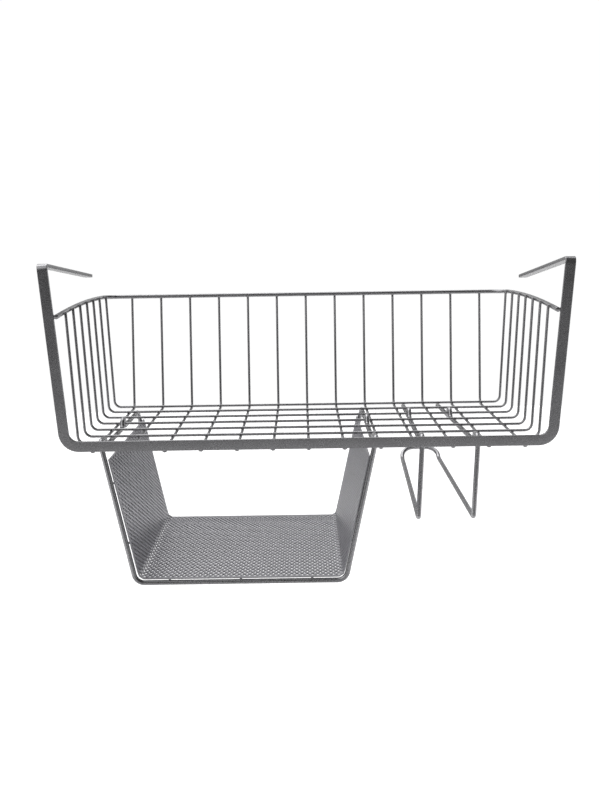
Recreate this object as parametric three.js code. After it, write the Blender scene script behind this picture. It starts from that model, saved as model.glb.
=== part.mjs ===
// Under-shelf wire basket: a strip hanger with a welded wire basket in it, and two accessories
// that hang on the basket's cross wires: a mesh tray and a wire loop.
// Millimetres, +X to the right, +Y away from the front, +Z up. The origin is the shelf seat:
// midway between the two arms, at the back of the uprights, level with the arms' undersides there.

import * as THREE from 'three';

// Hanger: one flat strip, bent edgewise into a U and flatwise into two arms
const overallWidth = 400; // across the outer edges of the arms
const hangerHeight = 141.7; // lower edge of the front bar to the top of the arms
const barDrop = 0.14; // lower edge of the front bar below the middle of the floor wires
const stripWidth = 8;
const stripThickness = 3;
const stripChamfer = 0.4;
const uprightFlare = 5.2; // degrees outwards, going up
const barCornerRadius = 11.5; // middle of the strip, bent edgewise
const armBendRadius = 4; // middle of the strip, bent flatwise
const armLength = 210; // back of the uprights to the arm tips
const leftArmDroop = 3.75; // degrees down towards the tips
const rightArmDroop = 5.35;

// Wires and the gaps between them
const gridWire = 2.2; // diameter of the floor, back and side wires
const rimWire = 3.6;
const accessoryWire = 4;
const weldGap = 0.12; // between pieces that are welded together
const slideGap = 0.3; // between a hung accessory and the wires it hangs on

// Basket
const basketDepth = 250; // back of the front bar to the foot of the back wall
const rimHeight = 102.2; // lower edge of the front bar to the rim's front ends
const rimRise = 2.9; // rear of the rim above its front ends
const rimArch = 2.1; // middle of each side above the straight line between its ends
const rimSpread = 2.6; // each side further out at the rear than at the front
const sideFlareFront = 3.65; // degrees, side walls
const sideFlareRear = 2.95;
const backFlare = 3.85; // degrees, back wall
const rimCornerRadius = 16;
const gridBendRadius = 6;
const floorWireCount = 13;
const floorWireMargin = 14; // foot of a side wall to the first floor wire
const crossWireCount = 7;
const crossWireFront = 23; // back of the front bar to the first cross wire
const crossWireRear = 8.6; // last cross wire to the foot of the back wall
const wireEndRise = 1.2; // wire ends above the middle of the rim
const rimInset = 0.3; // rim ends behind the front face of the strip

// What both accessories share
const accessoryFront = 10; // back of the front bar to the accessories' front legs
const crestLength = 8; // level top of a hook over a cross wire
const hookRise = 3.6; // run of the wire as it climbs to a hook
const hookBendRadius = 5;
const frontHookWire = 1; // cross wire that the front hooks pass over

// Hung tray
const trayLeftNeighbour = 1; // floor wires that the rails lie between
const trayRightNeighbour = 9;
const trayLeftPlay = 2.2; // free space between a rail and its neighbour
const trayRightPlay = 0.9;
const trayRearHookWire = 4;
const trayRearReach = 99.3; // rear hook wire to the rear hoop
const trayDrop = 105; // floor wires to the lowest run of the hoops
const trayFloorWidth = 162; // between the hoops' sharp corners
const trayCornerRadius = 8;
const trayJointGap = 0.2; // butt joint of the frame wire
const meshThickness = 1;
const meshTopGap = 7.5; // rails to the upper edges of the mesh
const meshOverhang = 1.2; // mesh past the middle of the hoops
const meshOpeningsAcross = 9; // of the floor
const meshOpeningsUp = 5; // of each wall
const meshOpeningsDeep = 9;
const meshOpenShare = 0.6; // of each direction

// Hung loop
const loopLeftNeighbour = 10;
const loopRightNeighbour = 12;
const loopLeftPlay = 2.2;
const loopRightPlay = 3.5;
const loopTurn = 0.35; // degrees, rear to the left
const loopRearHookWire = 5;
const loopRailTaper = 3.4; // each rail's shift inwards at the rear hook
const loopTailReach = 78.4; // rear hook wire to the rear ends of the rails
const loopDrop = 63.5; // floor wires to the bottom of the legs
const loopLegSetback = 30; // leg bottoms behind the leg tops
const loopLegSplay = 0.5; // each leg's shift outwards at the bottom
const loopLength = 207; // leg bottoms to the turned-up end
const loopRise = 12; // of the lower wires, from the legs to the turned-up end
const loopEndWidth = 34.4; // between the lower wires at the turned-up end
const loopEndLength = 13.2;
const loopEndRise = 8.6;
const loopEndTaper = 1; // each side's shift inwards over the turned-up end
const loopEndBendRadius = 10;
const loopEndCornerRadius = 12.2;

// Faceting
const gridSides = 8;
const thickSides = 10;
const degreesPerBendStep = 18;
const meshFoldSteps = 6;
const rimRuns = 8; // straight runs in each side of the rim

const vector = (x, y, z) => new THREE.Vector3(x, y, z);
const slope = (degrees) => Math.tan(THREE.MathUtils.degToRad(degrees));
const cosine = (degrees) => Math.cos(THREE.MathUtils.degToRad(degrees));
const numbers = (count) => Array.from({ length: count }, (_, i) => i + 1);
const mirrored = (points) => points.map((point) => vector(-point.x, point.y, point.z)).reverse();

const gridRadius = gridWire / 2;
const rimRadius = rimWire / 2;
const accessoryRadius = accessoryWire / 2;

// Heights are measured from the middle of the floor wires, depths from the back of the strip
const barBottom = -barDrop;
const barMiddle = barBottom + stripWidth / 2;
const stripMiddle = -stripThickness / 2;
const rimEnds = -stripThickness + rimInset;
const armMiddle = barBottom + hangerHeight - stripThickness / 2;
const armHalfWidth = overallWidth / 2 - stripWidth / 2;
const barHalfWidth = armHalfWidth - (armMiddle - barMiddle) * slope(uprightFlare);
const meanDroop = (leftArmDroop + rightArmDroop) / 2;
const seatHeight = armMiddle + stripMiddle * slope(meanDroop) - stripThickness / 2 / cosine(meanDroop);

// The rim lies against the uprights' inner edges, and the back wall against the rim
const rimFront = barBottom + rimHeight;
const rimRear = rimFront + rimRise;
const uprightAtRim = armHalfWidth - (armMiddle - rimFront) * slope(uprightFlare);
const rimHalfWidth = uprightAtRim - (stripWidth / 2 + rimRadius + weldGap) / cosine(uprightFlare);
const rimToGrid = (flare) => (rimRadius + gridRadius + weldGap) / cosine(flare);
const rimBack = basketDepth + rimRear * slope(backFlare) - rimToGrid(backFlare);

// Along each side the rim rises in an arch and spreads, and the wall below it grows steeper
const share = (depth) => depth / rimBack;
const rimAt = (depth) => rimFront + share(depth) * (rimRise + 4 * rimArch * (1 - share(depth)));
const rimSideAt = (depth) => rimHalfWidth + rimSpread * share(depth) * (2 - share(depth));
const sideFlareAt = (depth) => sideFlareFront + share(depth) * (sideFlareRear - sideFlareFront);

// The cross wires lie on the floor wires, inside the rim
const crossMiddle = gridWire + weldGap;
const crossPitch = (basketDepth - crossWireFront - crossWireRear) / (crossWireCount - 1);
const crossDepth = (number) => crossWireFront + (number - 1) * crossPitch;

// Half width of a cross wire at the rim, less where the rim turns its rear corner
function crossHalfWidth(depth) {
  const intoCorner = Math.max(0, depth - (rimBack - rimCornerRadius));
  const innerRadius = rimCornerRadius - rimToGrid(sideFlareAt(depth));
  const reach = Math.sqrt(innerRadius ** 2 - Math.min(intoCorner, innerRadius) ** 2);
  return rimSideAt(depth) - rimCornerRadius + reach;
}

const wallRun = (depth) => (rimAt(depth) - crossMiddle) * slope(sideFlareAt(depth));
const floorHalfWidth = crossHalfWidth(0) - wallRun(0);
const floorPitch = (2 * (floorHalfWidth - floorWireMargin)) / (floorWireCount - 1);
const floorWireAt = (number) => (number - (floorWireCount + 1) / 2) * floorPitch;

// The accessories' rails run under the cross wires, and their hooks pass over them
const railMiddle = crossMiddle - gridRadius - slideGap - accessoryRadius;
const crestMiddle = crossMiddle + gridRadius + slideGap + accessoryRadius;
const besideFloorWire = gridRadius + accessoryRadius;

const silverCoat = new THREE.MeshStandardMaterial({ color: 0x8b8d91, roughness: 0.42, metalness: 0.6 });
const meshCoat = new THREE.MeshStandardMaterial({ color: 0xa0a2a6, roughness: 0.5, metalness: 0.6 });

// A path of straight runs with a round bend at each inner corner, sampled only where it bends.
// A corner with a bend radius of 0 stays one point
class BentPath extends THREE.Curve {
  constructor(corners, bendRadii) {
    super();
    this.points = [];
    this.tangents = [];
    const last = corners.length - 1;
    const heading = (i) => corners[i + 1].clone().sub(corners[i]).normalize();
    this.addStation(corners[0], heading(0));
    for (let i = 1; i < last; i += 1) {
      const radius = Array.isArray(bendRadii) ? bendRadii[i - 1] : bendRadii;
      if (radius > 0) this.addBend(corners[i], heading(i - 1), heading(i), radius);
      else this.addStation(corners[i], heading(i - 1).add(heading(i)).normalize());
    }
    this.addStation(corners[last], heading(last - 1));
  }

  addStation(point, tangent) {
    this.points.push(point.clone());
    this.tangents.push(tangent.clone());
  }

  addBend(corner, before, after, radius) {
    const turn = before.angleTo(after);
    const setback = radius * Math.tan(turn / 2);
    const axis = before.clone().cross(after).normalize();
    const inwards = after.clone().sub(before).normalize();
    const centre = corner.clone().addScaledVector(inwards, radius / Math.cos(turn / 2));
    const spoke = corner.clone().addScaledVector(before, -setback).sub(centre);
    const steps = Math.ceil(THREE.MathUtils.radToDeg(turn) / degreesPerBendStep);
    for (let step = 0; step <= steps; step += 1) {
      const angle = (turn * step) / steps;
      const point = spoke.clone().applyAxisAngle(axis, angle).add(centre);
      this.addStation(point, before.clone().applyAxisAngle(axis, angle));
    }
  }

  get steps() {
    return this.points.length - 1;
  }

  getPoint(t) {
    return this.points[Math.round(t * this.steps)].clone();
  }

  getPointAt(u) {
    return this.getPoint(u);
  }

  getTangentAt(u) {
    return this.tangents[Math.round(u * this.steps)].clone();
  }
}

// The strip's path: its wide face looks to the front, and turns up where the arms leave the uprights
class StripPath extends BentPath {
  computeFrenetFrames() {
    const front = vector(0, -1, 0);
    const normals = this.tangents.map((tangent, i) => {
      if (tangent.y === 0) return front.clone().cross(tangent);
      const across = vector(-Math.sign(this.points[i].x), 0, 0);
      return across.addScaledVector(tangent, -across.dot(tangent)).normalize();
    });
    const binormals = this.tangents.map((tangent, i) => tangent.clone().cross(normals[i]));
    return { tangents: this.tangents, normals, binormals };
  }
}

function roundSection(diameter, sides) {
  const corners = [];
  for (let i = 0; i < sides; i += 1) {
    const angle = ((i + 0.5) * 2 * Math.PI) / sides;
    corners.push(new THREE.Vector2(Math.cos(angle), Math.sin(angle)).multiplyScalar(diameter / 2));
  }
  return new THREE.Shape(corners);
}

function stripSection() {
  const halfWidth = stripWidth / 2;
  const halfThickness = stripThickness / 2;
  const corners = [
    [halfWidth, -halfThickness + stripChamfer],
    [halfWidth, halfThickness - stripChamfer],
    [halfWidth - stripChamfer, halfThickness],
    [-halfWidth + stripChamfer, halfThickness],
    [-halfWidth, halfThickness - stripChamfer],
    [-halfWidth, -halfThickness + stripChamfer],
    [-halfWidth + stripChamfer, -halfThickness],
    [halfWidth - stripChamfer, -halfThickness],
  ];
  return new THREE.Shape(corners.map(([x, y]) => new THREE.Vector2(x, y)));
}

function piece(name, geometry, material) {
  const mesh = new THREE.Mesh(geometry, material);
  mesh.name = name;
  return mesh;
}

function sweep(name, section, path) {
  const settings = { steps: path.steps, extrudePath: path, bevelEnabled: false };
  return piece(name, new THREE.ExtrudeGeometry(section, settings), silverCoat);
}

// Corners of the strip from a bar corner up to the tip of its arm
function hangerSide(side, droop) {
  const tipMiddle = armMiddle - (armLength - stripMiddle) * slope(droop);
  return [
    vector(side * barHalfWidth, stripMiddle, barMiddle),
    vector(side * armHalfWidth, stripMiddle, armMiddle),
    vector(side * armHalfWidth, armLength, tipMiddle),
  ];
}

function makeHanger() {
  const corners = [...hangerSide(-1, leftArmDroop).reverse(), ...hangerSide(1, rightArmDroop)];
  const bends = [armBendRadius, barCornerRadius, barCornerRadius, armBendRadius];
  return sweep('hanger_bar', stripSection(), new StripPath(corners, bends));
}

function makeRim() {
  const runLength = (rimBack - rimEnds) / rimRuns;
  const depths = numbers(rimRuns + 1).map((number) => rimBack - (number - 1) * runLength);
  const rightHalf = depths.map((depth) => vector(rimSideAt(depth), depth, rimAt(depth)));
  const straightOn = numbers(rimRuns - 1).map(() => 0);
  const bends = [...straightOn, rimCornerRadius, rimCornerRadius, ...straightOn];
  const path = new BentPath([...mirrored(rightHalf), ...rightHalf], bends);
  return sweep('rim_wire', roundSection(rimWire, thickSides), path);
}

function makeCrossWire(number) {
  const depth = crossDepth(number);
  const atRim = crossHalfWidth(depth);
  const atTop = atRim + wireEndRise * slope(sideFlareAt(depth));
  const rightHalf = [
    vector(atRim - wallRun(depth), depth, crossMiddle),
    vector(atTop, depth, rimAt(depth) + wireEndRise),
  ];
  const path = new BentPath([...mirrored(rightHalf), ...rightHalf], gridBendRadius);
  return sweep(`cross_wire_${number}`, roundSection(gridWire, gridSides), path);
}

function makeFloorWire(number) {
  const x = floorWireAt(number);
  const top = rimRear + wireEndRise;
  const corners = [
    vector(x, weldGap, 0),
    vector(x, basketDepth, 0),
    vector(x, basketDepth + top * slope(backFlare), top),
  ];
  const path = new BentPath(corners, gridBendRadius);
  return sweep(`floor_wire_${number}`, roundSection(gridWire, gridSides), path);
}

// Corners of a rail behind its front leg: off the front hook, under the cross wires, over the rear hook
// wire and down again. The rail's offset from the accessory's middle is given at each depth
function railCorners(offsetAt, rearHookWire) {
  const front = crossDepth(frontHookWire);
  const rear = crossDepth(rearHookWire);
  const halfCrest = crestLength / 2;
  const stations = [
    [front + halfCrest, crestMiddle],
    [front + halfCrest + hookRise, railMiddle],
    [rear - halfCrest - hookRise, railMiddle],
    [rear - halfCrest, crestMiddle],
    [rear + halfCrest, crestMiddle],
    [rear + halfCrest + hookRise, railMiddle],
  ];
  return stations.map(([depth, height]) => vector(offsetAt(depth), depth, height));
}

// Tray: both hoops share one outline, a channel with sloping sides
const trayLeftRail = floorWireAt(trayLeftNeighbour) + besideFloorWire + trayLeftPlay;
const trayRightRail = floorWireAt(trayRightNeighbour) - besideFloorWire - trayRightPlay;
const trayMiddle = (trayLeftRail + trayRightRail) / 2;
const trayHalfTop = (trayRightRail - trayLeftRail) / 2;
const trayLean = (trayHalfTop - trayFloorWidth / 2) / (railMiddle + trayDrop);
const trayLeanAngle = Math.atan(trayLean);
const trayRear = crossDepth(trayRearHookWire) + trayRearReach;
const hoopHalfWidth = (height) => trayHalfTop + (height - railMiddle) * trayLean;

function makeTrayFrame() {
  const rail = railCorners(() => trayHalfTop, trayRearHookWire);
  const rightHalf = [
    vector(trayJointGap / 2, trayRear, -trayDrop),
    vector(trayFloorWidth / 2, trayRear, -trayDrop),
    vector(trayHalfTop, trayRear, railMiddle),
    ...rail.reverse(),
    vector(hoopHalfWidth(crestMiddle), accessoryFront, crestMiddle),
    vector(trayFloorWidth / 2, accessoryFront, -trayDrop),
  ];
  const railBends = rail.map(() => hookBendRadius);
  const halfBends = [trayCornerRadius, hookBendRadius, ...railBends, hookBendRadius, trayCornerRadius];
  const corners = [...rightHalf, ...mirrored(rightHalf)];
  const path = new BentPath(corners, [...halfBends, ...halfBends.slice().reverse()]);
  return sweep('tray_frame', roundSection(accessoryWire, thickSides), path);
}

// Cuts along a length that is pierced by evenly spaced openings. A cut is a distance, and open tells
// whether an opening follows it
function pierce(length, openings) {
  const opening = (length * meshOpenShare) / openings;
  const bar = (length - opening * openings) / (openings + 1);
  const cuts = [{ distance: 0, open: false }];
  numbers(openings).forEach((number) => {
    cuts.push({ distance: number * bar + (number - 1) * opening, open: true });
    cuts.push({ distance: number * (bar + opening), open: false });
  });
  cuts.push({ distance: length, open: false });
  return cuts;
}

// Stations along the mesh channel's section, from its left upper edge to its right one. Each has a point
// on the outer face and the direction to the inner face
function meshStations() {
  const turn = Math.PI / 2 - trayLeanAngle;
  const inset = accessoryRadius + weldGap;
  const radius = trayCornerRadius - inset;
  const floorHeight = inset - trayDrop;
  const foldSide = trayFloorWidth / 2 - trayCornerRadius * Math.tan(turn / 2);
  const foldHeight = trayCornerRadius - trayDrop;
  const wallFoot = foldHeight - radius * Math.cos(turn);
  const wallLength = (railMiddle - meshTopGap - wallFoot) / Math.cos(trayLeanAngle);
  const wallFootSide = foldSide + radius * Math.sin(turn);
  const station = (x, height, angle, open) => ({
    point: new THREE.Vector2(x, height),
    inwards: new THREE.Vector2(-Math.sin(angle), Math.cos(angle)),
    open,
  });
  const onWall = (side) => ({ distance, open }) => {
    const x = wallFootSide + distance * Math.sin(trayLeanAngle);
    return station(side * x, wallFoot + distance * Math.cos(trayLeanAngle), side * turn, open);
  };
  const onFold = (side) => (number) => {
    const angle = (turn * number) / meshFoldSteps;
    const x = foldSide + radius * Math.sin(angle);
    return station(side * x, foldHeight - radius * Math.cos(angle), side * angle, false);
  };
  const floor = pierce(2 * foldSide, meshOpeningsAcross);
  const wall = pierce(wallLength, meshOpeningsUp);
  const downwards = wall.map(({ distance, open }) => ({ distance: wallLength - distance, open }));
  const folds = numbers(meshFoldSteps - 1);
  return [
    ...downwards.map(onWall(-1)),
    ...folds.slice().reverse().map(onFold(-1)),
    ...floor.map(({ distance, open }) => station(distance - foldSide, floorHeight, 0, open)),
    ...folds.map(onFold(1)),
    ...wall.map(onWall(1)),
  ];
}

// A bent sheet with a plain grid of openings: two faces, and an edge wherever a filled cell ends
function makeTrayMesh() {
  const stations = meshStations();
  const cuts = pierce(trayRear - accessoryFront + 2 * meshOverhang, meshOpeningsDeep);
  const front = accessoryFront - meshOverhang;
  const positions = [];
  [0, meshThickness].forEach((inset) => {
    stations.forEach(({ point, inwards }) => {
      const at = point.clone().addScaledVector(inwards, inset);
      cuts.forEach(({ distance }) => positions.push(at.x, front + distance, at.y));
    });
  });
  const faceSize = stations.length * cuts.length;
  const outer = (i, j) => i * cuts.length + j;
  const inner = (i, j) => faceSize + outer(i, j);
  const inside = (i, j) => i >= 0 && j >= 0 && i < stations.length - 1 && j < cuts.length - 1;
  const filled = (i, j) => inside(i, j) && !(stations[i].open && cuts[j].open);
  const triangles = [];
  const quad = (a, b, c, d) => triangles.push(a, b, c, a, c, d);
  for (let i = 0; i < stations.length - 1; i += 1) {
    for (let j = 0; j < cuts.length - 1; j += 1) {
      if (!filled(i, j)) continue;
      quad(outer(i, j), outer(i, j + 1), outer(i + 1, j + 1), outer(i + 1, j));
      quad(inner(i, j), inner(i + 1, j), inner(i + 1, j + 1), inner(i, j + 1));
      if (!filled(i - 1, j)) quad(outer(i, j), inner(i, j), inner(i, j + 1), outer(i, j + 1));
      if (!filled(i + 1, j)) quad(outer(i + 1, j), outer(i + 1, j + 1), inner(i + 1, j + 1), inner(i + 1, j));
      if (!filled(i, j - 1)) quad(outer(i, j), outer(i + 1, j), inner(i + 1, j), inner(i, j));
      if (!filled(i, j + 1)) quad(outer(i, j + 1), inner(i, j + 1), inner(i + 1, j + 1), outer(i + 1, j + 1));
    }
  }
  const geometry = new THREE.BufferGeometry();
  geometry.setAttribute('position', new THREE.Float32BufferAttribute(positions, 3));
  geometry.setIndex(triangles);
  geometry.computeVertexNormals();
  return piece('tray_mesh', geometry, meshCoat);
}

// Loop: two rails that draw together to the rear, legs at the front, and a long loop below
const loopLeftRail = floorWireAt(loopLeftNeighbour) + besideFloorWire + loopLeftPlay;
const loopRightRail = floorWireAt(loopRightNeighbour) - besideFloorWire - loopRightPlay;
const loopMiddle = (loopLeftRail + loopRightRail) / 2;
const loopHalfFront = (loopRightRail - loopLeftRail) / 2;
const loopRearHook = crossDepth(loopRearHookWire);

function makeLoop() {
  const railLength = loopRearHook - accessoryFront;
  const offsetAt = (depth) => loopHalfFront - (loopRailTaper * (depth - accessoryFront)) / railLength;
  const rail = railCorners(offsetAt, loopRearHookWire);
  const tail = loopRearHook + loopTailReach;
  const legBottom = accessoryFront + loopLegSetback;
  const upturn = legBottom + loopLength;
  const endHalfWidth = loopEndWidth / 2;
  const rightHalf = [
    vector(endHalfWidth - loopEndTaper, upturn + loopEndLength, loopRise + loopEndRise - loopDrop),
    vector(endHalfWidth, upturn, loopRise - loopDrop),
    vector(loopHalfFront + loopLegSplay, legBottom, -loopDrop),
    vector(loopHalfFront, accessoryFront, crestMiddle),
    ...rail,
    vector(offsetAt(tail), tail, railMiddle),
  ];
  const railBends = rail.map(() => hookBendRadius);
  const halfBends = [loopEndCornerRadius, loopEndBendRadius, hookBendRadius, hookBendRadius, ...railBends];
  const corners = [...mirrored(rightHalf), ...rightHalf];
  const path = new BentPath(corners, [...halfBends.slice().reverse(), ...halfBends]);
  return sweep('loop_hook', roundSection(accessoryWire, thickSides), path);
}

const basket = new THREE.Group();
basket.add(makeHanger(), makeRim());
basket.add(...numbers(crossWireCount).map(makeCrossWire));
basket.add(...numbers(floorWireCount).map(makeFloorWire));

const tray = new THREE.Group();
tray.position.x = trayMiddle;
tray.add(makeTrayFrame(), makeTrayMesh());

const loop = new THREE.Group();
loop.position.x = loopMiddle;
loop.rotation.z = THREE.MathUtils.degToRad(loopTurn);
loop.add(makeLoop());

const assembly = new THREE.Group();
assembly.position.z = -seatHeight;
assembly.add(basket, tray, loop);

export default assembly;
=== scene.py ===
"""Looks of a wire basket that hangs under a shelf, with a mesh tray and a wire loop hooked below it.

Everything is in metres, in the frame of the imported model: x to the right, y away from the front, z up.
"""

import math

import bpy
from mathutils import Matrix, Vector


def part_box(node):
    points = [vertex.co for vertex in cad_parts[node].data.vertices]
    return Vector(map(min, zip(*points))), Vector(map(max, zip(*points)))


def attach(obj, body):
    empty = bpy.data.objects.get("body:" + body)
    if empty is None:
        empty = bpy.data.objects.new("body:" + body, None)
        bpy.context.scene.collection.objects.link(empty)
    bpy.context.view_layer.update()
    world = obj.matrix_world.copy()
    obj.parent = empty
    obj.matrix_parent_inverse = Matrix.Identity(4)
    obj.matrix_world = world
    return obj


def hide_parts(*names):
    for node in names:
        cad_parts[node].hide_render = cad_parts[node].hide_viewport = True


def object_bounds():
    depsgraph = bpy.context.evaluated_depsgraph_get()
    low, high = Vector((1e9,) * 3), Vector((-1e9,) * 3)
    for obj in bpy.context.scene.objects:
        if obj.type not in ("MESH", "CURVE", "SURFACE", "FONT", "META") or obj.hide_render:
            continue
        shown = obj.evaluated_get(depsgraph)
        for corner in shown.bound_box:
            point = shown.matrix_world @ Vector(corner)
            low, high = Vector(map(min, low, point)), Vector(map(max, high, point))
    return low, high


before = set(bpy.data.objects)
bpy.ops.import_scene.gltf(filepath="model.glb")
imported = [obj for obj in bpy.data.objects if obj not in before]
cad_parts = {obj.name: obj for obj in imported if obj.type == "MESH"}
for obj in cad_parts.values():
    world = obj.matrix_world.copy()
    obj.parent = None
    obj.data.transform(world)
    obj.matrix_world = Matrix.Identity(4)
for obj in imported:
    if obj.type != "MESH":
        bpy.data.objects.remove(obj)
cad_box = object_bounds()

# Strip of the hanger. A hair comes off its section, so that its round bends stay inside the solid's box.
# Both reaches are counted in setbacks of the bend and find the open ends that it joins.
STRIP_WIDTH = 0.008
STRIP_THICKNESS = 0.003
STRIP_ROUND = 0.0005
STRIP_TRIM = 0.0001
BAR_CORNER_RADIUS = 0.0115
BAR_DROP = 0.00014
ARM_BEND_RADIUS = 0.004
ARM_BEND_CUTS = 9
ARM_BEND_SWELL = 0.74
BEND_FACE_REACH = 1.2
BEND_EDGE_REACH = 2
UPRIGHT_FLARE = math.radians(5.2)
ARM_DROOP = {-1: math.radians(3.75), 1: math.radians(5.35)}
ARM_LENGTH = 0.21
TIP_ROUND = 0.0026
TIP_STEPS = 5
TIP_EDGE_ROUND = 0.0004
STRIP_SMOOTH_ANGLE = math.radians(35)

# Round wires. The hung wire is a hair thinner than its solid, so that its round form stays inside.
GRID_RADIUS = 0.0011
RIM_RADIUS = 0.0018
HUNG_RADIUS = 0.00196
HUNG_SOLID_RADIUS = 0.002
GRID_SIDES = 14
THICK_SIDES = 20
GRID_SOLID_SIDES = 8
RIM_SOLID_SIDES = 10
CUT_END_ROUND = 0.0003
BEND_STEP = math.radians(7.5)
WIRE_SMOOTH_ANGLE = math.radians(40)
WELD_GAP = 0.00012
SLIDE_GAP = 0.0003

# Basket
RIM_HEIGHT = 0.1022
RIM_RISE = 0.0029
RIM_ARCH = 0.0021
RIM_SPREAD = 0.0026
RIM_RUNS = 8
RIM_SWEEP_RADIUS = 0.3
RIM_CORNER_RADIUS = 0.016
SIDE_FLARE_FRONT = math.radians(3.65)
SIDE_FLARE_REAR = math.radians(2.95)
BACK_FLARE = math.radians(3.85)
GRID_BEND_RADIUS = 0.006
CROSS_WIRES = 7
FLOOR_WIRES = 13

# Both accessories
ACCESSORY_FRONT = 0.01
FRONT_HOOK = "cross_wire_1"
HOOK_CREST = 0.008
HOOK_RUN = 0.0036
HOOK_BEND_RADIUS = 0.005

# Tray. Its front legs stand a hair further in at the top, to clear the floor wires when it slides,
# and its sheet stands clear of the hoops, a little to the right and a little up.
TRAY_LEFT_PLAY = 0.0022
TRAY_RIGHT_PLAY = 0.0009
TRAY_REAR_HOOK = "cross_wire_4"
TRAY_REAR_REACH = 0.0993
TRAY_DROP = 0.105
TRAY_FLOOR_WIDTH = 0.162
TRAY_CORNER_RADIUS = 0.008
TRAY_JOINT_GAP = 0.0002
HOOP_CLEARANCE = 0.0003
MESH_INSET = 0.00305
MESH_SHIFT = 0.0004
MESH_LIFT = 0.00025
MESH_STRAND = 0.0013
MESH_THICKNESS = 0.001
MESH_BORDER = 0.0016
MESH_COLUMNS = 85
MESH_ROWS = 23
MESH_EDGE_TOLERANCE = MESH_STRAND / 8
FOLD_STEPS = 10

# Loop
LOOP_LEFT_PLAY = 0.0022
LOOP_RIGHT_PLAY = 0.0035
LOOP_TURN = math.radians(0.35)
LOOP_REAR_HOOK = "cross_wire_5"
LOOP_RAIL_TAPER = 0.0034
LOOP_LEG_SPLAY = 0.0005
LOOP_LEG_SETBACK = 0.03
LOOP_DROP = 0.0635
LOOP_LENGTH = 0.207
LOOP_RISE = 0.012
LOOP_END_WIDTH = 0.0344
LOOP_END_TAPER = 0.001
LOOP_END_LENGTH = 0.0131
LOOP_END_RISE = 0.0086
LOOP_END_CORNER_RADIUS = 0.0122
LOOP_END_BEND_RADIUS = 0.01


def middle_of(node):
    """Middle of a solid's box."""
    low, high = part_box(node)
    return (low + high) / 2


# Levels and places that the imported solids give
bar_low, bar_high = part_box("hanger_bar")
strip_depth = bar_low.y + STRIP_THICKNESS / 2
bar_level = bar_low.z + STRIP_WIDTH / 2
arm_side = bar_high.x - STRIP_WIDTH / 2
mean_droop = (ARM_DROOP[-1] + ARM_DROOP[1]) / 2
arm_level = STRIP_THICKNESS / 2 * (1 / math.cos(mean_droop) + math.tan(mean_droop))
bar_side = arm_side - (arm_level - bar_level) * math.tan(UPRIGHT_FLARE)
floor_level = bar_low.z + BAR_DROP
cross_level = floor_level + 2 * GRID_RADIUS + WELD_GAP
crest_level = cross_level + GRID_RADIUS + SLIDE_GAP + HUNG_SOLID_RADIUS
rail_level = cross_level - GRID_RADIUS - SLIDE_GAP - HUNG_SOLID_RADIUS
beside_floor_wire = GRID_RADIUS + HUNG_SOLID_RADIUS
rim_low, rim_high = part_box("rim_wire")
rim_flat = RIM_RADIUS * math.cos(math.pi / RIM_SOLID_SIDES)
rim_back = rim_high.y - rim_flat
rim_front_side = rim_high.x - rim_flat - RIM_SPREAD
rim_front_level = bar_low.z + RIM_HEIGHT
rim_ends = rim_low.y
grid_flat = GRID_RADIUS * math.cos(math.pi / GRID_SOLID_SIDES)
floor_wire_sides = [middle_of(f"floor_wire_{number}").x for number in range(1, FLOOR_WIRES + 1)]
cross_wire_depths = [middle_of(f"cross_wire_{number}").y for number in range(1, CROSS_WIRES + 1)]


def rim_level_at(depth):
    """Height of the rim's side wire, which rises to the rear in an arch."""
    share = depth / rim_back
    return rim_front_level + share * (RIM_RISE + 4 * RIM_ARCH * (1 - share))


def rim_side_at(depth):
    """How far out the rim's side wire lies; the sides spread to the rear."""
    share = depth / rim_back
    return rim_front_side + RIM_SPREAD * share * (2 - share)


def clear_selection():
    """Deselect everything, so that the next operators act on the new piece alone."""
    bpy.ops.object.select_all(action='DESELECT')


def settle():
    """Put the active piece's place, turn and size into its mesh."""
    bpy.ops.object.transform_apply(location=True, rotation=True, scale=True)


def edit():
    """Open the active piece for editing, with all of it selected."""
    bpy.ops.object.mode_set(mode='EDIT')
    bpy.ops.mesh.select_all(action='SELECT')


def close_edit():
    """Leave edit mode."""
    bpy.ops.object.mode_set(mode='OBJECT')


def hand_over(piece, name, body, slot, *nodes):
    """Name a finished piece, let it ride on its body and hide the solids that it stands for."""
    piece.name = name
    piece.data.name = name
    piece.data.materials.clear()
    piece.data.materials.append(coats[slot])
    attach(piece, body)
    if nodes:
        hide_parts(*nodes)


def pull(distance):
    """Extrude the selected end face by this distance."""
    bpy.ops.mesh.extrude_region_move(TRANSFORM_OT_translate={'value': distance})


def follow(corners, bends):
    """Draw the selected end face along straight runs, round a bend at each inner corner."""
    place = corners[0]
    for index, bend in enumerate(bends, start=1):
        corner = corners[index]
        heading = (corner - corners[index - 1]).normalized()
        onward = (corners[index + 1] - corner).normalized()
        turn = heading.angle(onward)
        setback = bend * math.tan(turn / 2)
        start = corner - heading * setback
        pull(start - place)
        axis = heading.cross(onward).normalized()
        centre = start + axis.cross(heading) * bend
        bpy.ops.mesh.spin(steps=math.ceil(turn / BEND_STEP), angle=-turn, center=centre, axis=axis)
        place = corner + onward * setback
    pull(corners[-1] - place)


def round_ends(amount):
    """Round the rims of the flat end faces of the piece that is open for editing."""
    bpy.ops.mesh.select_all(action='DESELECT')
    bpy.ops.mesh.select_face_by_sides(number=4, type='GREATER')
    bpy.ops.mesh.bevel(offset=amount, segments=2, affect='EDGES')


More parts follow.
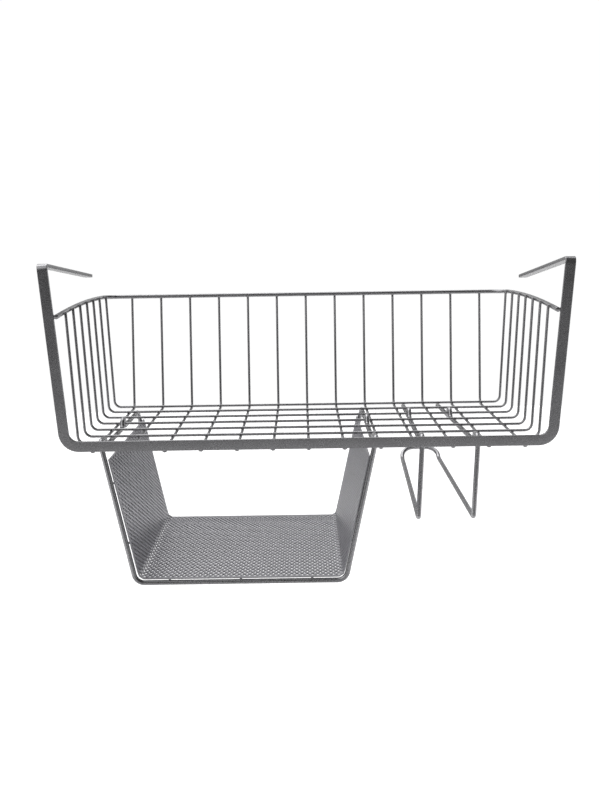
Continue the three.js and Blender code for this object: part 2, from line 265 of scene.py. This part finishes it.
def draw_wire(corners, bends, radius, sides):
    """A round wire along these corners, with its two cut ends rounded."""
    points = [Vector(corner) for corner in corners]
    turn = (points[1] - points[0]).to_track_quat('Z', 'Y').to_euler()
    clear_selection()
    bpy.ops.mesh.primitive_circle_add(
        vertices=sides, radius=radius, fill_type='NGON', location=points[0], rotation=turn
    )
    settle()
    edit()
    follow(points, bends)
    round_ends(CUT_END_ROUND)
    close_edit()
    bpy.ops.object.shade_smooth_by_angle(angle=WIRE_SMOOTH_ANGLE)
    return bpy.context.object


def mirrored(corners):
    """The same corners on the other side of the middle plane, in the opposite order."""
    return [(-x, y, z) for x, y, z in reversed(corners)]


def shifted(corners, across):
    """The same corners, moved sideways."""
    return [(x + across, y, z) for x, y, z in corners]


def strip_section(place, heading, width_way):
    """A flat strip's rounded section at a place, ready to be drawn along its heading."""
    turn = Matrix((width_way, heading.cross(width_way), heading)).transposed().to_euler()
    bpy.ops.mesh.primitive_plane_add(size=1, location=place, rotation=turn)
    bpy.context.object.scale = (STRIP_WIDTH - STRIP_TRIM, STRIP_THICKNESS - STRIP_TRIM, 1)
    settle()
    edit()
    bpy.ops.mesh.bevel(offset=STRIP_ROUND, segments=3, affect='VERTICES')
    bpy.ops.mesh.select_all(action='SELECT')


def bend_setback(side):
    """Length of the strip's bend into an arm, from the sharp corner to either end."""
    return ARM_BEND_RADIUS * math.tan((math.pi / 2 + ARM_DROOP[side]) / 2)


def draw_arm(side):
    """One arm of the hanger, from the end of its bend to its tip, which is rounded across its width."""
    droop = ARM_DROOP[side]
    heading = Vector((0, math.cos(droop), -math.sin(droop)))
    corner = Vector((side * arm_side, strip_depth, arm_level))
    length = (ARM_LENGTH - strip_depth) / math.cos(droop)
    setback = bend_setback(side)
    clear_selection()
    strip_section(corner + heading * setback, heading, Vector((1, 0, 0)))
    pull(heading * (length - setback - TIP_ROUND))
    reach = 0
    full_half_width = (STRIP_WIDTH - STRIP_TRIM) / 2
    half_width = full_half_width
    for step in range(1, TIP_STEPS + 1):
        turn = math.pi / 2 * step / (TIP_STEPS + 1)
        new_half_width = full_half_width - TIP_ROUND * (1 - math.cos(turn))
        pull(heading * (TIP_ROUND * math.sin(turn) - reach))
        bpy.ops.transform.resize(value=(new_half_width / half_width, 1, 1))
        reach = TIP_ROUND * math.sin(turn)
        half_width = new_half_width
    bpy.ops.mesh.bevel(offset=TIP_EDGE_ROUND, segments=2, affect='EDGES')
    close_edit()
    return bpy.context.object


def make_hanger():
    """The strip that is bent edgewise round the basket's front and flatwise into two arms."""
    upright = Vector((arm_side - bar_side, 0, arm_level - bar_level)).normalized()
    right_corner = Vector((arm_side, strip_depth, arm_level))
    right_foot = Vector((bar_side, strip_depth, bar_level))
    mirror = Vector((-1, 1, 1))
    left_top = (right_corner - upright * bend_setback(-1)) * mirror
    right_top = right_corner - upright * bend_setback(1)
    corners = [left_top, right_foot * mirror, right_foot, right_top]
    heading = (corners[1] - corners[0]).normalized()
    clear_selection()
    strip_section(corners[0], heading, Vector((0, 1, 0)).cross(heading))
    follow(corners, [BAR_CORNER_RADIUS, BAR_CORNER_RADIUS])
    close_edit()
    frontal = bpy.context.object
    for side in (-1, 1):
        join_arm(frontal, draw_arm(side), side)
    bpy.ops.object.shade_smooth_by_angle(angle=STRIP_SMOOTH_ANGLE)
    flatten = frontal.modifiers.new("flat_faces", 'WEIGHTED_NORMAL')
    flatten.keep_sharp = True
    bpy.ops.object.modifier_apply(modifier=flatten.name)
    hand_over(frontal, "hanger", "basket", "silver_coat", "hanger_bar")


def join_arm(frontal, arm, side):
    """Join an arm to the top of its upright by the bend between them."""
    setback = bend_setback(side)
    corner = Vector((side * arm_side, strip_depth, arm_level))
    clear_selection()
    arm.select_set(True)
    frontal.select_set(True)
    bpy.context.view_layer.objects.active = frontal
    bpy.ops.object.join()
    bpy.ops.object.mode_set(mode='EDIT')
    bpy.ops.mesh.select_all(action='DESELECT')
    close_edit()
    for face in frontal.data.polygons:
        if len(face.vertices) > 4 and (face.center - corner).length < BEND_FACE_REACH * setback:
            face.select = True
    bpy.ops.object.mode_set(mode='EDIT')
    bpy.ops.mesh.delete(type='ONLY_FACE')
    bpy.ops.mesh.select_mode(type='EDGE')
    bpy.ops.mesh.select_non_manifold()
    close_edit()
    for edge in frontal.data.edges:
        middle = sum((frontal.data.vertices[index].co for index in edge.vertices), Vector()) / 2
        if (middle - corner).length > BEND_EDGE_REACH * setback:
            edge.select = False
    bpy.ops.object.mode_set(mode='EDIT')
    bpy.ops.mesh.bridge_edge_loops(
        number_cuts=ARM_BEND_CUTS, interpolation='PATH', smoothness=ARM_BEND_SWELL
    )
    bpy.ops.mesh.select_mode(type='FACE')
    bpy.ops.mesh.select_all(action='SELECT')
    bpy.ops.mesh.normals_make_consistent(inside=False)
    close_edit()


def make_rim():
    """The thick wire round the basket's top, welded to both uprights."""
    run = (rim_back - rim_ends) / RIM_RUNS
    depths = [rim_back - step * run for step in range(RIM_RUNS + 1)]
    right = [(rim_side_at(depth), depth, rim_level_at(depth)) for depth in depths]
    sweeps = [RIM_SWEEP_RADIUS] * (RIM_RUNS - 1)
    bends = sweeps + [RIM_CORNER_RADIUS] * 2 + sweeps
    wire = draw_wire(mirrored(right) + right, bends, RIM_RADIUS, THICK_SIDES)
    hand_over(wire, "rim", "basket", "silver_coat", "rim_wire")


def make_cross_wires():
    """The wires from rim to rim, down one side, across the floor and up the other."""
    for number, depth in enumerate(cross_wire_depths, start=1):
        node = f"cross_wire_{number}"
        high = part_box(node)[1]
        flare = SIDE_FLARE_FRONT + depth / rim_back * (SIDE_FLARE_REAR - SIDE_FLARE_FRONT)
        end_level = high.z - GRID_RADIUS * math.sin(flare)
        end_side = high.x - grid_flat * math.cos(flare)
        foot_side = end_side - (end_level - cross_level) * math.tan(flare)
        right = [(foot_side, depth, cross_level), (end_side, depth, end_level)]
        wire = draw_wire(mirrored(right) + right, [GRID_BEND_RADIUS] * 2, GRID_RADIUS, GRID_SIDES)
        hand_over(wire, f"side_to_side_wire_{number}", "basket", "silver_coat", node)


def make_floor_wires():
    """The wires from the bar back along the floor and up the back wall: one is drawn and then copied."""
    low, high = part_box("floor_wire_1")
    end_level = high.z - GRID_RADIUS * math.sin(BACK_FLARE)
    end_depth = high.y - grid_flat * math.cos(BACK_FLARE)
    foot_depth = end_depth - (end_level - floor_level) * math.tan(BACK_FLARE)
    corners = [(0, low.y, floor_level), (0, foot_depth, floor_level), (0, end_depth, end_level)]
    pattern = draw_wire(corners, [GRID_BEND_RADIUS], GRID_RADIUS, GRID_SIDES)
    for number, side in enumerate(floor_wire_sides, start=1):
        wire = copy_of(pattern, Matrix.Translation((side, 0, 0)))
        hand_over(wire, f"front_to_back_wire_{number}", "basket", "silver_coat", f"floor_wire_{number}")
    bpy.data.objects.remove(pattern)


def copy_of(pattern, move):
    """A copy of a piece with its own mesh, moved."""
    copy = pattern.copy()
    copy.data = pattern.data.copy()
    copy.data.transform(move)
    bpy.context.collection.objects.link(copy)
    return copy


def rail_corners(side_at, rear_hook):
    """Corners of a rail under the floor, with the crests that hook it over two cross wires."""
    front = middle_of(FRONT_HOOK).y
    rear = middle_of(rear_hook).y
    half = HOOK_CREST / 2
    stations = [
        (front + half, crest_level),
        (front + half + HOOK_RUN, rail_level),
        (rear - half - HOOK_RUN, rail_level),
        (rear - half, crest_level),
        (rear + half, crest_level),
        (rear + half + HOOK_RUN, rail_level),
    ]
    return [(side_at(depth), depth, level) for depth, level in stations]


# The tray's rails lie between the first and the ninth floor wire,
# and the loop's between the tenth and the twelfth
tray_left = floor_wire_sides[0] + beside_floor_wire + TRAY_LEFT_PLAY
tray_right = floor_wire_sides[8] - beside_floor_wire - TRAY_RIGHT_PLAY
tray_middle = (tray_left + tray_right) / 2
tray_half_top = (tray_right - tray_left) / 2
tray_half_floor = TRAY_FLOOR_WIDTH / 2
tray_rear = middle_of(TRAY_REAR_HOOK).y + TRAY_REAR_REACH
tray_bottom = floor_level - TRAY_DROP
tray_lean = math.atan((tray_half_top - tray_half_floor) / (rail_level - tray_bottom))
loop_left = floor_wire_sides[9] + beside_floor_wire + LOOP_LEFT_PLAY
loop_right = floor_wire_sides[11] - beside_floor_wire - LOOP_RIGHT_PLAY


def make_tray_wire():
    """The tray's wire: rear hoop, two rails with their hooks, and front hoop, in one closed run."""
    front_top = tray_half_top + (crest_level - rail_level) * math.tan(tray_lean) - HOOP_CLEARANCE
    rail = rail_corners(lambda depth: tray_half_top, TRAY_REAR_HOOK)
    right = [
        (TRAY_JOINT_GAP / 2, tray_rear, tray_bottom),
        (tray_half_floor, tray_rear, tray_bottom),
        (tray_half_top, tray_rear, rail_level),
        *reversed(rail),
        (front_top, ACCESSORY_FRONT, crest_level),
        (tray_half_floor, ACCESSORY_FRONT, tray_bottom),
    ]
    right_bends = [TRAY_CORNER_RADIUS] + [HOOK_BEND_RADIUS] * (len(rail) + 2) + [TRAY_CORNER_RADIUS]
    corners = shifted(right + mirrored(right), tray_middle)
    wire = draw_wire(corners, right_bends + right_bends[::-1], HUNG_RADIUS, THICK_SIDES)
    hand_over(wire, "tray_wire", "tray", "silver_coat", "tray_frame")


def make_loop():
    """The wire loop: two rails with hooks, two front legs and a long lower loop with a turned-up end."""
    rail_side = (loop_right - loop_left) / 2
    taper_run = middle_of(LOOP_REAR_HOOK).y - ACCESSORY_FRONT
    end_side = LOOP_END_WIDTH / 2
    foot_depth = ACCESSORY_FRONT + LOOP_LEG_SETBACK
    end_depth = foot_depth + LOOP_LENGTH
    foot_level = floor_level - LOOP_DROP
    end_level = foot_level + LOOP_RISE

    def side_at(depth):
        """How far out a rail lies at this depth; the rails close in to the rear."""
        return rail_side - LOOP_RAIL_TAPER * (depth - ACCESSORY_FRONT) / taper_run

    rail = rail_corners(side_at, LOOP_REAR_HOOK)
    right = [
        (end_side - LOOP_END_TAPER, end_depth + LOOP_END_LENGTH, end_level + LOOP_END_RISE),
        (end_side, end_depth, end_level),
        (rail_side + LOOP_LEG_SPLAY, foot_depth, foot_level),
        (rail_side, ACCESSORY_FRONT, crest_level),
        *rail,
        (side_at(end_depth), end_depth, rail_level),
    ]
    right_bends = [LOOP_END_CORNER_RADIUS, LOOP_END_BEND_RADIUS] + [HOOK_BEND_RADIUS] * (len(rail) + 2)
    wire = draw_wire(mirrored(right) + right, right_bends[::-1] + right_bends, HUNG_RADIUS, THICK_SIDES)
    wire.rotation_euler.z = LOOP_TURN
    wire.location.x = (loop_left + loop_right) / 2
    settle()
    hand_over(wire, "loop", "loop", "silver_coat", "loop_hook")


def channel_outline():
    """Outline of the tray's bent sheet, from its left upper edge to its right one."""
    fold_turn = math.pi / 2 - tray_lean
    fold_radius = TRAY_CORNER_RADIUS - MESH_INSET
    arc_side = tray_half_floor - TRAY_CORNER_RADIUS * math.tan(fold_turn / 2)
    floor_height = tray_bottom + MESH_INSET
    right = []
    for step in range(FOLD_STEPS + 1):
        turn = fold_turn * step / FOLD_STEPS
        right.append((
            arc_side + fold_radius * math.sin(turn),
            floor_height + fold_radius * (1 - math.cos(turn)),
        ))
    foot_side, foot_height = right[-1]
    wall_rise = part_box("tray_mesh")[1].z - foot_height
    right.append((foot_side + wall_rise * math.tan(tray_lean), foot_height + wall_rise))
    return [(-x, z) for x, z in reversed(right)] + right


def trim(half_across, half_along):
    """Cut the active flat sheet off at four straight edges."""
    for across, along in ((1, 0), (-1, 0), (0, 1), (0, -1)):
        edit()
        bpy.ops.mesh.bisect(
            plane_co=(across * half_across, along * half_along, 0),
            plane_no=(across, along, 0),
            clear_outer=True,
        )
        close_edit()


def flat_lattice(length, depth):
    """A flat sheet of expanded metal: diamond holes between strands, and two plain borders."""
    open_depth = depth - 2 * MESH_BORDER
    cells = MESH_COLUMNS + MESH_ROWS + 2
    clear_selection()
    bpy.ops.mesh.primitive_grid_add(
        x_subdivisions=cells,
        y_subdivisions=cells,
        size=cells / math.sqrt(2),
        rotation=(0, 0, math.pi / 4),
    )
    settle()
    sheet = bpy.context.object
    sheet.scale = (length / MESH_COLUMNS, open_depth / MESH_ROWS, 1)
    settle()
    trim(length / 2, open_depth / 2)
    edit()
    bpy.ops.mesh.inset(thickness=MESH_STRAND / 2, use_individual=True)
    bpy.ops.mesh.delete(type='FACE')
    close_edit()
    for way in (-1, 1):
        pull_border(sheet, way, open_depth / 2)
    thicken = sheet.modifiers.new("strand_thickness", 'SOLIDIFY')
    thicken.thickness = MESH_THICKNESS
    thicken.offset = 0
    bpy.ops.object.modifier_apply(modifier=thicken.name)
    return sheet


def pull_border(sheet, way, edge_depth):
    """Extend the flat sheet's front or rear edge by a plain border."""
    edit()
    bpy.ops.mesh.select_mode(type='EDGE')
    bpy.ops.mesh.select_all(action='DESELECT')
    close_edit()
    for edge in sheet.data.edges:
        ends = [sheet.data.vertices[index].co.y for index in edge.vertices]
        edge.select = all(abs(end - way * edge_depth) < MESH_EDGE_TOLERANCE for end in ends)
    bpy.ops.object.mode_set(mode='EDIT')
    pull((0, way * MESH_BORDER, 0))
    bpy.ops.mesh.select_mode(type='FACE')
    close_edit()


def make_tray_mesh():
    """Expanded steel bent into a channel inside the hoops."""
    outline = channel_outline()
    length = sum(math.dist(start, end) for start, end in zip(outline, outline[1:]))
    low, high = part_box("tray_mesh")
    sheet = flat_lattice(length, high.y - low.y)
    sheet.location.x = length / 2
    sheet.rotation_euler.x = math.pi / 2
    settle()
    fold = bpy.data.curves.new("tray_fold", 'CURVE')
    fold.dimensions = '2D'
    run = fold.splines.new('POLY')
    run.points.add(len(outline) - 1)
    for point, (x, z) in zip(run.points, outline):
        point.co = (x, z, 0, 1)
    fold_line = bpy.data.objects.new("tray_fold", fold)
    bpy.context.collection.objects.link(fold_line)
    bend = sheet.modifiers.new("bend_to_channel", 'CURVE')
    bend.object = fold_line
    bend.deform_axis = 'POS_X'
    bpy.ops.object.modifier_apply(modifier=bend.name)
    bpy.data.objects.remove(fold_line)
    sheet.rotation_euler.x = math.pi / 2
    sheet.location = (tray_middle + MESH_SHIFT, (low.y + high.y) / 2, MESH_LIFT)
    settle()
    hand_over(sheet, "tray_expanded_steel", "tray", "mesh_coat", "tray_mesh")


# Welds: half-axes of the beads, where some of them sit, and how uneven they are.
# The wall tacks are shares of the height from the tray's floor to its rails.
CROSSING_BEAD = Vector((0.00135, 0.00135, 0.0005))
BACK_RIM_BEAD = Vector((0.0014, 0.0007, 0.0013))
SIDE_RIM_BEAD = Vector((0.0007, 0.0014, 0.0013))
BAR_BEAD = Vector((0.0021, 0.0016, 0.0016))
BAR_BEAD_DROP = 0.0001
RIM_END_BEAD = Vector((0.0013, 0.0011, 0.0019))
RIM_END_BEAD_OUT = 0.8 * RIM_RADIUS
JOINT_BEAD = Vector((0.0022, 0.00194, 0.00194))
MESH_BEAD = Vector((0.0012, 0.0014, 0.0012))
MESH_BEAD_INSET = 0.0024
FLOOR_TACKS = (-0.055, 0.0, 0.055)
WALL_TACKS = (0.3, 0.75)
BEAD_SHAPES = 5
BEAD_UNEVENNESS = 0.14
BEAD_SMOOTHING = 0.3
BEAD_EVEN_OFFSET = 0.4
BEAD_ALONG_NORMAL = 0.6


def bead_patterns():
    """A few uneven round beads of unit size."""
    patterns = []
    for seed in range(BEAD_SHAPES):
        clear_selection()
        bpy.ops.mesh.primitive_ico_sphere_add(subdivisions=2, radius=1 - BEAD_UNEVENNESS)
        edit()
        bpy.ops.transform.vertex_random(
            offset=BEAD_UNEVENNESS, uniform=BEAD_EVEN_OFFSET, normal=BEAD_ALONG_NORMAL, seed=seed
        )
        bpy.ops.mesh.vertices_smooth(factor=BEAD_SMOOTHING)
        close_edit()
        bpy.ops.object.shade_smooth()
        patterns.append(bpy.context.object)
    return patterns


def make_welds(name, body, spots, patterns):
    """Beads at these spots, each with its half-axes, joined in one piece."""
    beads = []
    for number, (place, half_axes) in enumerate(spots):
        move = Matrix.Translation(place) @ Matrix.Diagonal(half_axes).to_4x4()
        beads.append(copy_of(patterns[number % BEAD_SHAPES], move))
    clear_selection()
    for bead in beads:
        bead.select_set(True)
    bpy.context.view_layer.objects.active = beads[0]
    bpy.ops.object.join()
    hand_over(beads[0], name, body, "silver_coat")


def mesh_tacks():
    """Spots where the tray's sheet is tacked to the floor and the walls of both hoops."""
    spots = []
    for depth in (ACCESSORY_FRONT, tray_rear):
        for side in FLOOR_TACKS:
            spots.append((tray_middle + side, depth, tray_bottom + MESH_BEAD_INSET))
        for way in (-1, 1):
            for share in WALL_TACKS:
                out = tray_half_floor + share * (tray_half_top - tray_half_floor)
                side = tray_middle + way * (out - MESH_BEAD_INSET * math.cos(tray_lean))
                level = tray_bottom + share * (rail_level - tray_bottom)
                spots.append((side, depth, level + MESH_BEAD_INSET * math.sin(tray_lean)))
    return [(Vector(spot), MESH_BEAD) for spot in spots]


def make_all_welds():
    """The welds between the wires, on the rim, under the bar, in the tray's wire and along its sheet."""
    patterns = bead_patterns()
    contact = (floor_level + cross_level) / 2
    crossings = [
        (Vector((side, depth, contact)), CROSSING_BEAD)
        for side in floor_wire_sides
        for depth in cross_wire_depths
    ]
    make_welds("floor_welds", "basket", crossings, patterns)
    rear_contact = rim_back + RIM_RADIUS
    rear_level = rim_level_at(rim_back)
    rim_spots = [(Vector((side, rear_contact, rear_level)), BACK_RIM_BEAD) for side in floor_wire_sides]
    for number, depth in enumerate(cross_wire_depths, start=1):
        level = rim_level_at(depth)
        contact_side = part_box(f"cross_wire_{number}")[1].x
        rim_spots += [(Vector((way * contact_side, depth, level)), SIDE_RIM_BEAD) for way in (-1, 1)]
    end_side = rim_side_at(rim_ends) + RIM_END_BEAD_OUT
    end_level = rim_level_at(rim_ends)
    rim_spots += [(Vector((way * end_side, strip_depth, end_level)), RIM_END_BEAD) for way in (-1, 1)]
    make_welds("rim_welds", "basket", rim_spots, patterns)
    bar_bead_depth = strip_depth / 4
    bar_bead_level = bar_low.z - BAR_BEAD_DROP
    bar_spots = [(Vector((side, bar_bead_depth, bar_bead_level)), BAR_BEAD) for side in floor_wire_sides]
    make_welds("bar_welds", "basket", bar_spots, patterns)
    joint = [(Vector((tray_middle, tray_rear, tray_bottom)), JOINT_BEAD)]
    make_welds("tray_wire_weld", "tray", joint, patterns)
    make_welds("tray_mesh_welds", "tray", mesh_tacks(), patterns)
    for pattern in patterns:
        bpy.data.objects.remove(pattern)


class Tap:
    """An output in a node tree; sums and products of it add Math nodes to the same tree."""

    def __init__(self, tree, socket=None):
        self.tree = tree
        self.socket = socket

    def node(self, kind, settings=None, inputs=None, output=0):
        """Add a node of this kind, set it up, fill its sockets and return one of its outputs."""
        added = self.tree.nodes.new(kind)
        for name, value in (settings or {}).items():
            setattr(added, name, value)
        for name, value in (inputs or {}).items():
            if isinstance(value, Tap):
                self.tree.links.new(value.socket, added.inputs[name])
            else:
                added.inputs[name].default_value = value
        return Tap(self.tree, added.outputs[output] if added.outputs else None)

    def maths(self, operation, first, second):
        """A Math node on two values or taps."""
        return self.node('ShaderNodeMath', {'operation': operation}, {0: first, 1: second})

    def __add__(self, other):
        return self.maths('ADD', self, other)

    def __radd__(self, other):
        return self.maths('ADD', other, self)

    def __sub__(self, other):
        return self.maths('SUBTRACT', self, other)

    def __rsub__(self, other):
        return self.maths('SUBTRACT', other, self)

    def __mul__(self, other):
        return self.maths('MULTIPLY', self, other)

    def __rmul__(self, other):
        return self.maths('MULTIPLY', other, self)

    def __pow__(self, other):
        return self.maths('POWER', self, other)

    def rise(self, low, high):
        """From nought to one, smoothly, as this value goes from low to high."""
        span = {'Value': self, 'From Min': low, 'From Max': high, 'To Min': 0.0, 'To Max': 1.0}
        return self.node('ShaderNodeMapRange', {'interpolation_type': 'SMOOTHSTEP'}, span)

    def along(self, way):
        """How far this direction goes along another one."""
        settings = {'operation': 'DOT_PRODUCT'}
        return self.node('ShaderNodeVectorMath', settings, {0: self, 1: way}, 'Value')


# Grain of the powder coat and a painted glint on a few of its flakes: sizes on the surface, and how far
# each kind changes the shade, the roughness and the relief
FLAKE_SIZE = 0.00015
PEEL_SIZE = 0.0011
CLOUD_SIZE = 0.022
FLAKE_SHADE = 0.14
PAINTED_GLINT_SHADE = 0.3
GLINT_POWER = 6.0
PEEL_SHADE = 0.3
CLOUD_SHADE = 0.14
GLINT_POLISH = 0.1
PEEL_ROUGHNESS = 0.08
CLOUD_ROUGHNESS = 0.1
FLAKE_RELIEF = 0.25
RELIEF_STRENGTH = 0.06
RELIEF_DEPTH = 0.0003
COAT_SPECULAR = 0.2


def powder_coat(name, tone, roughness, metal, edge_tone):
    """Satin silver-grey powder coat: metal flake, painted glints, fine orange peel and faint cloudiness.
    """
    material = bpy.data.materials.new(name)
    material.use_nodes = True
    material.node_tree.nodes.clear()
    start = Tap(material.node_tree)
    place = start.node('ShaderNodeTexCoord', output='Object')
    flakes = start.node(
        'ShaderNodeTexVoronoi', inputs={'Vector': place, 'Scale': 1 / FLAKE_SIZE}, output='Color'
    )
    flake = start.node('ShaderNodeSeparateColor', inputs={'Color': flakes}, output='Red')
    peel = start.node('ShaderNodeTexNoise', inputs={'Vector': place, 'Scale': 1 / PEEL_SIZE})
    cloud = start.node('ShaderNodeTexNoise', inputs={'Vector': place, 'Scale': 1 / CLOUD_SIZE})
    # Painted glint: the brightest few flakes get a lighter colour, as if they caught the light, and a
    # smoother surface
    glint = flake ** GLINT_POWER
    cloudiness = cloud - 0.5
    bumpiness = peel - 0.5
    sparkle = FLAKE_SHADE * flake + PAINTED_GLINT_SHADE * glint
    shade = (1 - FLAKE_SHADE) + sparkle + CLOUD_SHADE * cloudiness + PEEL_SHADE * bumpiness
    dullness = CLOUD_ROUGHNESS * cloudiness + PEEL_ROUGHNESS * bumpiness - GLINT_POLISH * glint
    colour = start.node('ShaderNodeVectorMath', {'operation': 'SCALE'}, {0: tone, 'Scale': shade})
    relief = start.node(
        'ShaderNodeBump',
        inputs={
            'Height': peel + FLAKE_RELIEF * flake,
            'Strength': RELIEF_STRENGTH,
            'Distance': RELIEF_DEPTH,
        },
    )
    surface = start.node(
        'ShaderNodeBsdfPrincipled',
        inputs={
            'Base Color': colour,
            'Roughness': roughness + dullness,
            'Normal': relief,
            'Metallic': metal,
            'Specular IOR Level': COAT_SPECULAR,
            'Specular Tint': (edge_tone, edge_tone, edge_tone, 1),
        },
    )
    start.node('ShaderNodeOutputMaterial', inputs={'Surface': surface})
    return material


coats = {
    "silver_coat": powder_coat(
        "silver_coat_finish", tone=(0.364, 0.362, 0.374), roughness=0.27, metal=0.8, edge_tone=0.58
    ),
    "mesh_coat": powder_coat(
        "mesh_coat_finish", tone=(0.38, 0.376, 0.402), roughness=0.4, metal=0.7, edge_tone=1.0
    ),
}

make_hanger()
make_rim()
make_cross_wires()
make_floor_wires()
make_tray_wire()
make_tray_mesh()
make_loop()
make_all_welds()

# Floor
FLOOR_DROP = 0.8
FLOOR_SIZE = 7.2
FLOOR_FRONT = -0.1
FLOOR_TONE = (0.9, 0.9, 0.9, 1)
FLOOR_ROUGHNESS = 0.9
FLOOR_GLOW = 0.5
WHITE = (1, 1, 1, 1)

# Lamps: direction, cosines where the glow begins and where it is full, strength.
# They stand above, on the upper front left, low on the left and the right, and on the right rear.
LAMPS = (
    ((-0.25, 0.4, 0.882), 0.8, 0.99, 3.1),
    ((-0.55, -0.5, 0.669), 0.8, 0.97, 1.5),
    ((-0.86, -0.5, -0.1), 0.88, 0.98, 0.55),
    ((0.86, -0.5, 0.0), 0.86, 0.98, 0.45),
    ((0.85, 0.5, -0.15), 0.84, 0.98, 1.35),
)

# Rest of the light: strengths, and the heights or depths of a direction over which each part sets in.
# The bounce is a band below the horizon, and loses most of its strength further down.
AMBIENT = 0.005
BACKDROP_BASE = 0.22
BACKDROP_UPPER = 0.28
BACKDROP_GLARE = 0.86
BACKDROP_SETS_IN = (0.1, 0.9)
UPPER_SETS_IN = (0.02, 0.2)
GLARE_SETS_IN = (-0.06, 0.04)
GLARE_ENDS = (0.12, 0.22)
BOUNCE_SETS_IN = (0.13, 0.23)
BOUNCE_FADES = (0.35, 0.55)
BOUNCE_LOSS = 0.7
BOUNCE_REAR_LIMIT = 0.6
BOUNCE_REAR_FADE = 0.4
SEEN_WHITE = 1.02


def make_floor():
    """A plain pale floor, well below the basket."""
    clear_selection()
    bpy.ops.mesh.primitive_plane_add(
        size=FLOOR_SIZE, location=(0, FLOOR_FRONT + FLOOR_SIZE / 2, cad_box[0].z - FLOOR_DROP)
    )
    floor = bpy.context.object
    floor.name = "studio_floor"
    white = bpy.data.materials.new("studio_white")
    white.use_nodes = True
    white.node_tree.nodes.clear()
    start = Tap(white.node_tree)
    surface = start.node(
        'ShaderNodeBsdfPrincipled',
        inputs={
            'Base Color': FLOOR_TONE,
            'Roughness': FLOOR_ROUGHNESS,
            'Emission Color': WHITE,
            'Emission Strength': FLOOR_GLOW,
        },
    )
    start.node('ShaderNodeOutputMaterial', inputs={'Surface': surface})
    floor.data.materials.append(white)


def make_light():
    """Soft studio light: lamps, a pale backdrop with a bright horizon, and a low bounce in front."""
    world = bpy.data.worlds.new("studio")
    world.use_nodes = True
    world.node_tree.nodes.clear()
    start = Tap(world.node_tree)
    direction = start.node('ShaderNodeTexCoord', output='Generated')
    back = start.node('ShaderNodeSeparateXYZ', inputs={'Vector': direction}, output='Y')
    up = start.node('ShaderNodeSeparateXYZ', inputs={'Vector': direction}, output='Z')
    glare = up.rise(*GLARE_SETS_IN) - up.rise(*GLARE_ENDS)
    pale = BACKDROP_BASE + BACKDROP_UPPER * up.rise(*UPPER_SETS_IN) + BACKDROP_GLARE * glare
    backdrop = back.rise(*BACKDROP_SETS_IN) * pale
    down = -1.0 * up
    in_front = (BOUNCE_REAR_LIMIT - back).rise(0.0, BOUNCE_REAR_FADE)
    bounce = (down.rise(*BOUNCE_SETS_IN) - BOUNCE_LOSS * down.rise(*BOUNCE_FADES)) * in_front
    glow = AMBIENT + backdrop + bounce
    for way, edge, full, power in LAMPS:
        glow = glow + power * direction.along(way).rise(edge, full)
    seen = start.node('ShaderNodeLightPath', output='Is Camera Ray')
    strength = SEEN_WHITE * seen + (1.0 - seen) * glow
    light = start.node('ShaderNodeBackground', inputs={'Color': WHITE, 'Strength': strength})
    start.node('ShaderNodeOutputWorld', inputs={'Surface': light})
    bpy.context.scene.world = world
    bpy.context.scene.view_settings.view_transform = 'Standard'


make_floor()
make_light()

# Camera of the photograph
CAMERA_PLACE = Vector((-0.00363, -0.9698, 0.0195))
CAMERA_PITCH = math.radians(7.125)
CAMERA_YAW = math.radians(-0.148)
CAMERA_ROLL = math.radians(-0.859)
FOCAL_PIXELS = 1301.04
IMAGE_HEIGHT = 800
SENSOR = 36.0


def place_camera():
    """The camera, from its place, its tilt and its focal length."""
    forward = Vector((
        math.sin(CAMERA_YAW) * math.cos(CAMERA_PITCH),
        math.cos(CAMERA_YAW) * math.cos(CAMERA_PITCH),
        -math.sin(CAMERA_PITCH),
    ))
    level = Vector((math.cos(CAMERA_YAW), -math.sin(CAMERA_YAW), 0))
    upright = level.cross(forward)
    right = math.cos(CAMERA_ROLL) * level + math.sin(CAMERA_ROLL) * upright
    up = -math.sin(CAMERA_ROLL) * level + math.cos(CAMERA_ROLL) * upright
    lens = bpy.data.cameras.new("photo_camera")
    lens.sensor_fit = 'VERTICAL'
    lens.sensor_height = SENSOR
    lens.lens = FOCAL_PIXELS / IMAGE_HEIGHT * SENSOR
    camera = bpy.data.objects.new("photo_camera", lens)
    bpy.context.collection.objects.link(camera)
    turn = Matrix((right, up, -forward)).transposed().to_4x4()
    camera.matrix_world = Matrix.Translation(CAMERA_PLACE) @ turn
    bpy.context.scene.camera = camera


place_camera()
